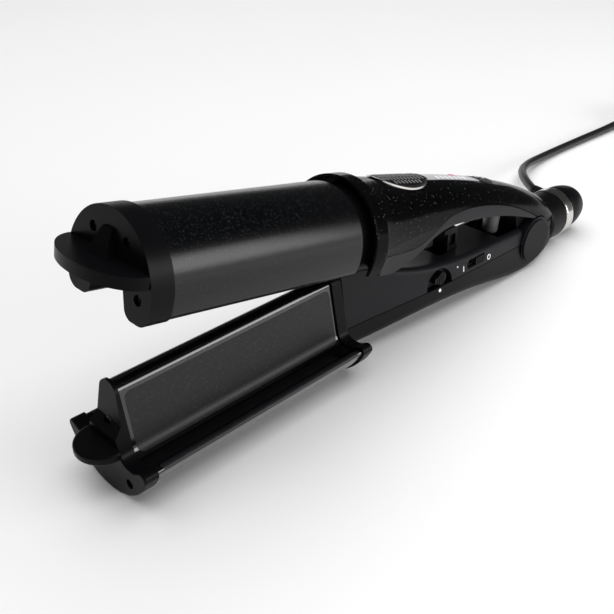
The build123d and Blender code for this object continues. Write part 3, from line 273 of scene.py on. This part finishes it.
# ---- materials ------------------------------------------------------------------------------------
# depths of surface relief
PAINTED = 0.000005
POLISHED = 0.000003
SMOOTH = 0.00001
FINE = 0.00002
COARSE = 0.00003
GROOVE = 0.00015
MICA_SCALE = 2600.0
COAT_GRAIN = 3200.0


def blank(name, colour, metallic=0.0, specular=0.5):
    """New material: its tree, its shader and Object coordinates."""
    material = bpy.data.materials.new(name)
    material.use_nodes = True
    tree = material.node_tree
    shader = tree.nodes["Principled BSDF"]
    shader.inputs["Base Color"].default_value = colour
    shader.inputs["Metallic"].default_value = metallic
    shader.inputs["Specular IOR Level"].default_value = specular
    place = tree.nodes.new("ShaderNodeTexCoord").outputs["Object"]
    return material, tree, shader, place


def mix_colour(tree, mask, a, b):
    node = tree.nodes.new("ShaderNodeMix")
    node.data_type = "RGBA"
    tree.links.new(mask, node.inputs["Factor"])
    for socket, value in ((node.inputs[6], a), (node.inputs[7], b)):
        if isinstance(value, bpy.types.NodeSocket):
            tree.links.new(value, socket)
        else:
            socket.default_value = value
    return node.outputs[2]


def bump(tree, shader, height, depth):
    node = tree.nodes.new("ShaderNodeBump")
    node.inputs["Distance"].default_value = depth
    tree.links.new(height, node.inputs["Height"])
    tree.links.new(node.outputs["Normal"], shader.inputs["Normal"])


def moulded(name, colour, sheen, scale=2500.0, depth=FINE, drift=0.05, flecks=0.0, specular=0.5):
    """Moulded plastic, rubber or paint: grain, drift in sheen and a mottled colour."""
    material, tree, shader, place = blank(name, colour, specular=specular)
    grain = group(tree, "moulded_grain", Vector=place, Scale=scale, Sheen=sheen, Drift=drift)
    tree.links.new(grain.outputs["Roughness"], shader.inputs["Roughness"])
    lighter = [min(1.0, c * 1.35 + 0.0008) for c in colour[:3]] + [1.0]
    shade = mix_colour(tree, noise(tree, place, 140.0, 3.0), colour, lighter)
    if flecks:
        dots = group(tree, "sparkle", Vector=place, Scale=2400.0, Amount=flecks)
        shade = mix_colour(tree, dots.outputs["Mask"], shade, (0.35, 0.33, 0.30, 1.0))
    tree.links.new(shade, shader.inputs["Base Color"])
    bump(tree, shader, grain.outputs["Height"], depth)
    return material


def ceramic(name, colour, sheen):
    """Satin ceramic coat with fine mica."""
    material, tree, shader, place = blank(name, colour, specular=0.3)
    grain = group(tree, "moulded_grain", Vector=place, Scale=COAT_GRAIN, Sheen=sheen, Drift=0.03)
    dots = group(tree, "sparkle", Vector=place, Scale=MICA_SCALE, Amount=0.16)
    shade = mix_colour(tree, dots.outputs["Mask"], colour, (0.055, 0.055, 0.06, 1.0))
    tree.links.new(shade, shader.inputs["Base Color"])
    tree.links.new(grain.outputs["Roughness"], shader.inputs["Roughness"])
    bump(tree, shader, grain.outputs["Height"], FINE)
    return material


def panelled_ceramic(name, colour):
    """Gloss coat of the lower barrel, with a satin panel on each flank of the ridge."""
    material, tree, shader, place = blank(name, colour, specular=0.25)
    panel = group(tree, "rounded_panel", Vector=place, Centre=at(61.6, 0, 29.3),
                  Half=(0.0535, 1.0, 0.0123), Corner=0.0026, Line=0.00016)
    grain = group(tree, "moulded_grain", Vector=place, Scale=COAT_GRAIN, Sheen=0.0, Drift=0.03)
    rough = math_node(tree, "MULTIPLY", panel.outputs["Inside"], 0.25)
    rough = math_node(tree, "ADD", math_node(tree, "ADD", rough, 0.15), grain.outputs["Roughness"])
    tree.links.new(rough, shader.inputs["Roughness"])
    outside = math_node(tree, "SUBTRACT", 1.0, panel.outputs["Inside"])
    tree.links.new(outside, shader.inputs["Coat Weight"])
    shader.inputs["Coat Roughness"].default_value = 0.12
    dots = group(tree, "sparkle", Vector=place, Scale=MICA_SCALE, Amount=0.22)
    satin = mix_colour(tree, dots.outputs["Mask"],
                       (0.012, 0.012, 0.0135, 1.0), (0.10, 0.10, 0.11, 1.0))
    shade = mix_colour(tree, panel.outputs["Inside"], colour, satin)
    shade = mix_colour(tree, panel.outputs["Edge"], shade, (0.0, 0.0, 0.0, 1.0))
    tree.links.new(shade, shader.inputs["Base Color"])
    groove = math_node(tree, "MULTIPLY", panel.outputs["Edge"], -1.0)
    relief = math_node(tree, "ADD", groove, math_node(tree, "MULTIPLY", grain.outputs["Height"], 0.08))
    bump(tree, shader, relief, GROOVE)
    return material


def brushed(name, colour, axis_scale, sheen):
    """Metal with fine lines; axis_scale stretches them along one axis."""
    material, tree, shader, place = blank(name, colour, metallic=1.0)
    stretched = vector_node(tree, "MULTIPLY", place, axis_scale)
    lines = noise(tree, stretched, 1.0, 4.0)
    rough = math_node(tree, "ADD", math_node(tree, "MULTIPLY", lines, 0.18), sheen)
    tree.links.new(rough, shader.inputs["Roughness"])
    bump(tree, shader, lines, FINE)
    return material


def make_materials(colours):
    """One finish for each material slot of the record, and those of the new pieces."""
    dark, matte, gloss = tuple(colours.dark), tuple(colours.matte), tuple(colours.gloss)
    return {
        "barrel_ceramic": ceramic("ceramic_coat", tuple(colours.ceramic), 0.23),
        "ridge_ceramic": panelled_ceramic("panelled_ceramic", tuple(colours.ceramic)),
        "cap_black": moulded("cap_plastic", dark, 0.34, 1800.0, FINE, specular=0.08),
        "gloss_black": moulded("gloss_shell", gloss, 0.13, 900.0, POLISHED, 0.02,
                               flecks=0.03, specular=0.04),
        "matte_grey": moulded("matte_casing", matte, 0.42, 2200.0, COARSE, specular=0.12),
        "matte_black": moulded("dark_plastic", dark, 0.4, 2200.0, COARSE, specular=0.1),
        "grip_black": moulded("grip_rubber", dark, 0.5, 1500.0, COARSE, specular=0.15),
        "chrome_trim": brushed("bright_trim", (0.62, 0.60, 0.58, 1.0), (40.0, 900.0, 900.0), 0.12),
        "silver_strip": moulded("silver_strip", (0.34, 0.34, 0.36, 1.0), 0.3, 1800.0, SMOOTH),
        "post_grey": moulded("post_plastic", (0.10, 0.10, 0.105, 1.0), 0.3, 1500.0, SMOOTH),
        "disc_grey": moulded("disc_plastic", (0.006, 0.006, 0.007, 1.0), 0.4, 2200.0, FINE,
                             specular=0.06),
        "screw_steel": brushed("screw_steel", (0.10, 0.10, 0.105, 1.0), (900.0, 300.0, 300.0), 0.3),
        "heater_ceramic": moulded("heater_ceramic", (0.7, 0.68, 0.62, 1.0), 0.7, 900.0),
        "board_green": moulded("circuit_board", (0.02, 0.12, 0.05, 1.0), 0.4, 600.0),
        "inner_white": moulded("inner_plastic", (0.6, 0.58, 0.52, 1.0), 0.5),
        "cord_black": moulded("cord_sheath", (0.008, 0.008, 0.009, 1.0), 0.4, 900.0, COARSE),
        "pin_metal": brushed("pin_metal", (0.7, 0.68, 0.62, 1.0), (80.0, 1200.0, 1200.0), 0.2),
        # light grey rib tops: a painted highlight where the light catches the ribs
        "rib": moulded("rib_top_highlight", (0.22, 0.22, 0.225, 1.0), 0.3, 1500.0, SMOOTH),
        "print": moulded("print_white", tuple(colours.print_white), 0.5, 1500.0, PAINTED),
        "lamp": moulded("lamp_pink", (0.75, 0.18, 0.24, 1.0), 0.25, 800.0, PAINTED),
    }


MATERIALS = {}


def dress(piece, key, body=None):
    """Gives a piece its finish, and the body it goes with."""
    piece.data.materials.clear()
    piece.data.materials.append(MATERIALS[key])
    if body:
        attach(piece, body)
    return piece


# ---- modelling helpers ------------------------------------------------------------------------------
RING_SIDES = 40
LIFT = 0.1         # of a mark's thickness: how far its middle stands off the surface
EDGE_ROUND = 0.6   # of a mark's thickness


def clear_selection():
    for piece in list(bpy.context.selected_objects):
        piece.select_set(False)


def settle(name):
    """Names the active piece and applies its place, so that it sits at the origin."""
    piece = bpy.context.object
    piece.name = name
    bpy.ops.object.transform_apply(location=True, rotation=True, scale=True)
    return piece


def bevel(piece, width):
    modifier = piece.modifiers.new("rounding", "BEVEL")
    modifier.width = width
    modifier.segments = 2
    modifier.limit_method = "ANGLE"
    bpy.ops.object.modifier_apply(modifier=modifier.name)


def join(pieces, name):
    clear_selection()
    for piece in pieces:
        piece.select_set(True)
    bpy.context.view_layer.objects.active = pieces[0]
    if len(pieces) > 1:
        bpy.ops.object.join()
    pieces[0].name = name
    return pieces[0]


def skin_point(node, start, direction):
    """Where a straight line meets a CAD node: the point and the outward normal."""
    hit, point, normal, _ = frame["nodes"][node].ray_cast(start, direction)
    if not hit:
        raise RuntimeError("no surface of " + node + " on this line")
    return point, normal if normal.dot(direction) < 0 else -normal


def turn_to(normal, upright):
    """Euler angles that lay a flat piece's Z on normal and its Y near upright."""
    z = normal.normalized()
    x = upright.cross(z).normalized()
    y = z.cross(x)
    return Matrix((x, y, z)).transposed().to_euler()


def printed_bar(node, start, direction, upright, width, height, thick):
    """Thin raised bar that lies on a surface."""
    point, normal = skin_point(node, start, direction)
    clear_selection()
    bpy.ops.mesh.primitive_cube_add(size=1.0, location=point + normal * thick * LIFT,
                                    rotation=turn_to(normal, upright),
                                    scale=(width, height, thick * 2))
    piece = settle("bar")
    bevel(piece, thick * EDGE_ROUND)
    return piece


def printed_ring(node, start, direction, upright, radius, stroke, thick):
    """Thin raised ring, or a dot where stroke is not less than the radius."""
    point, normal = skin_point(node, start, direction)
    clear_selection()
    turned = turn_to(normal, upright)
    bpy.ops.mesh.primitive_cylinder_add(vertices=RING_SIDES, radius=radius, depth=thick * 2,
                                        location=point + normal * thick * LIFT, rotation=turned)
    piece = settle("ring")
    bevel(piece, thick * EDGE_ROUND)
    if stroke < radius:
        bpy.ops.mesh.primitive_cylinder_add(vertices=RING_SIDES, radius=radius - stroke,
                                            depth=thick * 8, location=point, rotation=turned)
        core = settle("core")
        cut = piece.modifiers.new("hole", "BOOLEAN")
        cut.operation = "DIFFERENCE"
        cut.object = core
        clear_selection()
        piece.select_set(True)
        bpy.context.view_layer.objects.active = piece
        bpy.ops.object.modifier_apply(modifier=cut.name)
        bpy.data.objects.remove(core)
    return piece


def printed_dot(node, start, direction, upright, radius, thick):
    """Thin raised disc that lies on a surface."""
    return printed_ring(node, start, direction, upright, radius, radius, thick)


def on_near_side(place):
    """Start of a line that pushes a mark onto the near side at this X and Z."""
    return at(place[0], OUTSIDE, place[1])


NEAR = Vector((0, 1, 0))   # line of sight onto the near side
UP = Vector((0, 0, 1))


# ---- operators: one for each piece or group of like pieces ---------------------------------------
class FinishFrame(bpy.types.Operator):
    """Gives every CAD node the finish of its record slot"""
    bl_idname = "hair_iron.finish_frame"
    bl_label = "Finish the frame"

    def execute(self, context):
        GROUPS["moulded_grain"] = moulded_grain()
        GROUPS["sparkle"] = sparkle()
        GROUPS["rounded_panel"] = rounded_panel()
        MATERIALS.update(make_materials(context.scene.iron_colours))
        for row in frame["record"]["subparts"]:
            dress(frame["nodes"][row["node"]], row["material_slot"])
        dress(frame["nodes"]["lower_barrel"], "ridge_ceramic")
        dress(frame["nodes"]["latch_hook"], "matte_black")
        return {"FINISHED"}


class AddCord(bpy.types.Operator):
    """Mains cord: out of the strain relief, along the table and into its tied coil"""
    bl_idname = "hair_iron.add_cord"
    bl_label = "Mains cord"

    def execute(self, context):
        sizes = context.scene.iron_sizes
        low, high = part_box("cord_coil")
        middle = (low + high) / 2
        row = LAYER_RISE * MM
        column = sizes.cord_diameter * TURN_GAP
        mean = (high.x - low.x) / 2 - COIL_EDGE * MM
        floor_z = low.z + sizes.cord_diameter / 2
        # each turn's distance from the middle turns, and its height
        layers = [(column, 0), (0, 0), (-column, 0), (-column / 2, row), (column / 2, row),
                  (-column, 2 * row), (0, 2 * row), (column, 2 * row)]
        early = {2: 0.2, 4: 0.2}   # turns that climb sooner, as a share of a turn
        hump = {4: 1.0 * MM}       # extra height where a turn crosses another
        # a curve of order 3 runs inside its points by this much on a circle
        shrink = 8 / (6 + 2 * math.cos(2 * math.pi / TURN_STEPS))
        points = [at(*CORD_EXIT)] + [at(*spot) for spot in CORD_ROUTE]
        for turn, (offset, rise) in enumerate(layers):
            next_offset, next_rise = layers[min(turn + 1, len(layers) - 1)]
            for step in range(TURN_STEPS):
                part = step / TURN_STEPS
                t = min(1.0, max(0.0, (part - 0.75 + early.get(turn, 0)) / 0.2))
                t = t * t * (3 - 2 * t)
                radius = (mean + offset + (next_offset - offset) * t) * shrink
                angle = math.pi / 2 - 2 * math.pi * part
                z = floor_z + rise + (next_rise - rise) * t + hump.get(turn, 0) * math.sin(math.pi * t)
                points.append(Vector((middle.x + radius * math.cos(angle),
                                      middle.y + radius * math.sin(angle), z)))
        plug_low, plug_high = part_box("plug_body")
        plug_z = (plug_low.z + plug_high.z) / 2
        side_y = middle.y + mean
        top_z = floor_z + 2 * row
        points += [Vector((middle.x, side_y + column, top_z)),
                   Vector((middle.x + 16 * MM, side_y + column, top_z - 1.5 * MM)),
                   Vector((middle.x + 31 * MM, side_y + 0.6 * column, plug_z + 1.5 * MM)),
                   Vector((middle.x + 43 * MM, side_y, plug_z)),
                   Vector((plug_low.x + 2 * MM, side_y, plug_z))]
        curve = bpy.data.curves.new("mains_cord", "CURVE")
        curve.dimensions = "3D"
        spline = curve.splines.new("NURBS")
        spline.points.add(len(points) - 1)
        for spot, point in zip(spline.points, points):
            spot.co = (*point, 1.0)
        spline.order_u = 3
        spline.use_endpoint_u = True
        spline.resolution_u = 6
        curve.bevel_depth = sizes.cord_diameter / 2
        curve.bevel_resolution = 4
        curve.use_fill_caps = True
        cord = bpy.data.objects.new("mains_cord", curve)
        context.scene.collection.objects.link(cord)
        dress(cord, "cord_black", "cord_swivel")
        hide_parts("power_cord", "cord_coil", "cord_lead")
        return {"FINISHED"}


class AddMarks(bpy.types.Operator):
    """Printed marks on the lower handle: on and off signs, the lock's dot and its small lock spot"""
    bl_idname = "hair_iron.add_marks"
    bl_label = "Printed marks"

    def execute(self, context):
        sizes = context.scene.iron_sizes
        thick, tall = sizes.print_thickness, sizes.mark_height
        cover, shell = "lower_handle_cover", "lower_handle_shell"
        signs = [
            printed_bar(cover, on_near_side(ON_SIGN), NEAR, UP, 0.6 * MM, tall, thick),
            printed_ring(cover, on_near_side(OFF_SIGN), NEAR, UP, tall / 2, 0.55 * MM, thick),
        ]
        dress(join(signs, "power_signs"), "print", "lower_arm")
        spots = [
            printed_dot(shell, on_near_side(LEVER_SPOT), NEAR, UP, 0.9 * MM, thick),
            printed_dot(cover, on_near_side(LOCKED_SPOT), NEAR, UP, 0.45 * MM, thick),
        ]
        dress(join(spots, "lock_spots"), "print", "lower_arm")
        return {"FINISHED"}


class AddDisplay(bpy.types.Operator):
    """Scale lines and the lamp on the display strip, and the signs on its buttons"""
    bl_idname = "hair_iron.add_display"
    bl_label = "Display marks"

    def execute(self, context):
        thick = context.scene.iron_sizes.print_thickness
        lines = []
        for i in range(SCALE_LINES):
            start = raised(SCALE_START + SCALE_PITCH * i, SCALE_Y, ABOVE)
            lines.append(printed_bar("display_strip", start, UPPER_DOWN, UPPER_ALONG,
                                     2.8 * MM, 1.4 * MM, thick))
        dress(join(lines, "scale_lines"), "print", "upper_arm")
        along, across = LAMP_OFFSET
        lamp = printed_dot("display_strip", raised(DISPLAY_X + along, across, ABOVE),
                           UPPER_DOWN, UPPER_ALONG, 1.7 * MM, thick * 2)
        dress(join([lamp], "heat_lamp"), "lamp", "upper_arm")
        bar_long, bar_wide = 2.2 * MM, 0.4 * MM
        cross_bar, long_bar = (bar_long, bar_wide), (bar_wide, bar_long)
        for name, body, x, arms in (
                ("minus_sign", "front_button", PAD_X - BUTTON_PITCH / 2, [cross_bar]),
                ("plus_sign", "rear_button", PAD_X + BUTTON_PITCH / 2, [cross_bar, long_bar])):
            bars = [printed_bar(body, raised(x, 0, ABOVE), UPPER_DOWN, UPPER_ALONG, *arm, thick)
                    for arm in arms]
            dress(join(bars, name), "print", body)
        return {"FINISHED"}


class AddGripRibs(bpy.types.Operator):
    """Light grey tops of the ribs on the oval finger rest: a painted highlight where the light catches
    them
    """
    bl_idname = "hair_iron.add_grip_ribs"
    bl_label = "Grip ribs"

    def execute(self, context):
        rise = 3 * context.scene.iron_sizes.print_thickness
        half_long, half_wide = GRIP_HALF
        ribs = []
        for row in range(-6, 7):
            x = row * RIB_PITCH + RIB_PITCH / 2
            room = half_wide * math.sqrt(max(0.0, 1 - (x / half_long) ** 2)) - GRIP_EDGE
            for column in range(-2, 3):
                y = column * RIB_STEP
                if abs(y) < room:
                    ribs.append(printed_bar("grip_pad", raised(GRIP_X + x, y, ABOVE),
                                            UPPER_DOWN, UPPER_ALONG, 2.4 * MM, 0.6 * MM, rise))
        # the light grey of these rib tops is a painted highlight
        dress(join(ribs, "grip_ribs"), "rib", "upper_arm")
        return {"FINISHED"}


class AddStage(bpy.types.Operator):
    """Pale floor, soft studio light and the camera"""
    bl_idname = "hair_iron.add_stage"
    bl_label = "Stage"

    def execute(self, context):
        scene = context.scene
        clear_selection()
        bpy.ops.mesh.primitive_circle_add(vertices=96, radius=1.6, fill_type="NGON",
                                          location=(0.3, 0.3, -0.2 * MM))
        floor = settle("floor")
        material, tree, shader, place = blank("pale_floor", (0.9, 0.9, 0.9, 1.0))
        shader.inputs["Roughness"].default_value = 0.7
        tint = mix_colour(tree, noise(tree, place, 3.0),
                          (0.89, 0.89, 0.89, 1.0), (0.91, 0.91, 0.91, 1.0))
        tree.links.new(tint, shader.inputs["Base Color"])
        floor.data.materials.append(material)
        panels = [
            # name, place, aim, width, height, watts, shows in reflections
            ("top_light", (0.1, 0.2, 1.9), (0.1, 0.1, 0), 3.2, 3.2, 66.0, False),
            ("near_panel", (0.42, -0.95, 0.32), (-0.08, 0.0, 0.05), 0.95, 0.42, 7.4, True),
            ("far_panel", (1.3, 1.5, 0.14), (0.0, 0.0, 0.05), 2.4, 0.22, 2.5, True),
        ]
        for name, place, aim, width, height, watts, shows in panels:
            data = bpy.data.lights.new(name, "AREA")
            data.shape = "RECTANGLE"
            data.size, data.size_y, data.energy = width, height, watts
            lamp = bpy.data.objects.new(name, data)
            scene.collection.objects.link(lamp)
            lamp.location = place
            lamp.rotation_euler = (Vector(aim) - Vector(place)).to_track_quat("-Z", "Y").to_euler()
            lamp.visible_glossy = shows
            lamp.visible_camera = False
        world = bpy.data.worlds.new("studio")
        scene.world = world
        world.use_nodes = True
        tree = world.node_tree
        path = tree.nodes.new("ShaderNodeLightPath")
        glow = tree.nodes["Background"]
        level = tree.nodes.new("ShaderNodeMix")
        level.data_type = "FLOAT"
        level.inputs[2].default_value = 0.05
        level.inputs[3].default_value = 1.0
        tree.links.new(path.outputs["Is Camera Ray"], level.inputs[0])
        tree.links.new(level.outputs[0], glow.inputs["Strength"])
        glow.inputs["Color"].default_value = (1, 1, 1, 1)
        camera_data = bpy.data.cameras.new("camera")
        camera_data.lens = 48.97
        camera_data.sensor_width = 36.0
        camera_data.clip_start = 0.01
        camera = bpy.data.objects.new("camera", camera_data)
        scene.collection.objects.link(camera)
        camera.location = (-0.2809, -0.2230, 0.2207)
        aim = Vector((-0.0328, 0.0238, 0.01484))
        camera.rotation_euler = (aim - camera.location).to_track_quat("-Z", "Y").to_euler()
        scene.camera = camera
        scene.view_settings.view_transform = "Standard"
        return {"FINISHED"}


STEPS = (FinishFrame, AddStage, AddCord, AddMarks, AddDisplay, AddGripRibs)


class IronPanel(bpy.types.Panel):
    """Steps that dress the hair iron, and its sizes and colours"""
    bl_idname = "VIEW3D_PT_hair_iron"
    bl_label = "Hair iron"
    bl_space_type = "VIEW_3D"
    bl_region_type = "UI"
    bl_category = "Hair iron"

    def draw(self, context):
        layout = self.layout
        for settings in (context.scene.iron_sizes, context.scene.iron_colours):
            for name in settings.__annotations__:
                layout.prop(settings, name)
        for step in STEPS:
            layout.operator(step.bl_idname)


CLASSES = (IronSizes, IronColours, *STEPS, IronPanel)


def register():
    for item in CLASSES:
        bpy.utils.register_class(item)
    bpy.types.Scene.iron_sizes = bpy.props.PointerProperty(type=IronSizes)
    bpy.types.Scene.iron_colours = bpy.props.PointerProperty(type=IronColours)


def unregister():
    del bpy.types.Scene.iron_colours
    del bpy.types.Scene.iron_sizes
    for item in reversed(CLASSES):
        bpy.utils.unregister_class(item)


def main():
    register()
    bpy.ops.hair_iron.finish_frame()
    bpy.ops.hair_iron.add_stage()
    bpy.ops.hair_iron.add_cord()
    bpy.ops.hair_iron.add_marks()
    bpy.ops.hair_iron.add_display()
    bpy.ops.hair_iron.add_grip_ribs()


if __name__ == "__main__":
    main()
